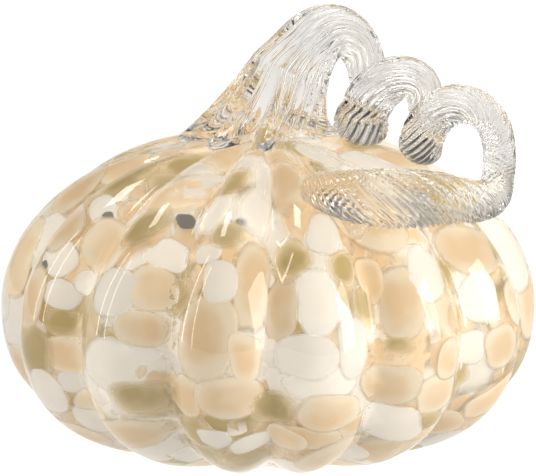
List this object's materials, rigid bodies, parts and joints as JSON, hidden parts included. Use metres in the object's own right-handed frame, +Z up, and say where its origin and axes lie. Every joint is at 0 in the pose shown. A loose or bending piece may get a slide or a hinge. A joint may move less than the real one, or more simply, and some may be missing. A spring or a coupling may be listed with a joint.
{
  "type": "glass pumpkin",
  "caption": "Blown glass pumpkin with a ribbed clear casing over white, peach and olive glass chips, and a clear fluted stem drawn out into a curled vine that lies on its shoulder.",
  "frame": {"origin": "middle of the flat base, on the surface that the pumpkin stands on", "axes": "+Z up, front of the pumpkin at -Y, the vine curls off towards +X"},
  "size_m": [0.15, 0.1474, 0.1245],
  "materials": {
    "casing_glass": "clear, fire polished",
    "bubble_glass": "clear, fire polished",
    "stem_glass": "clear, fluted and fire polished",
    "white_chips": "opaque white glass, rounded by fire",
    "peach_chips": "opaque peach to beige glass, rounded by fire",
    "olive_chips": "cloudy olive glass with soft edges"
  },
  "bodies": {
    "root": {"outer_casing": "casing_glass", "inner_bubble": "bubble_glass", "stem_vine": "stem_glass", "chips_foot_01": "peach_chips", "chips_foot_02": "white_chips", "chips_foot_03": "olive_chips", "chips_foot_04": "peach_chips", "chips_foot_05": "white_chips", "chips_foot_06": "white_chips", "chips_foot_07": "peach_chips", "chips_foot_08": "olive_chips", "chips_foot_09": "white_chips", "chips_foot_10": "peach_chips", "chips_foot_11": "white_chips", "chips_foot_12": "peach_chips", "chips_foot_13": "olive_chips", "chips_foot_14": "white_chips", "chips_belly_01": "white_chips", "chips_belly_02": "peach_chips", "chips_belly_03": "peach_chips", "chips_belly_04": "olive_chips", "chips_belly_05": "white_chips", "chips_belly_06": "peach_chips", "chips_belly_07": "white_chips", "chips_belly_08": "peach_chips", "chips_belly_09": "white_chips", "chips_belly_10": "olive_chips", "chips_belly_11": "peach_chips", "chips_belly_12": "white_chips", "chips_belly_13": "peach_chips", "chips_belly_14": "peach_chips", "chips_shoulder_01": "olive_chips", "chips_shoulder_02": "peach_chips", "chips_shoulder_03": "white_chips", "chips_shoulder_04": "peach_chips", "chips_shoulder_05": "olive_chips", "chips_shoulder_06": "white_chips", "chips_shoulder_07": "peach_chips", "chips_shoulder_08": "peach_chips", "chips_shoulder_09": "white_chips", "chips_shoulder_10": "peach_chips", "chips_shoulder_11": "olive_chips", "chips_shoulder_12": "peach_chips", "chips_shoulder_13": "white_chips", "chips_shoulder_14": "peach_chips"}
  },
  "joints": []
}
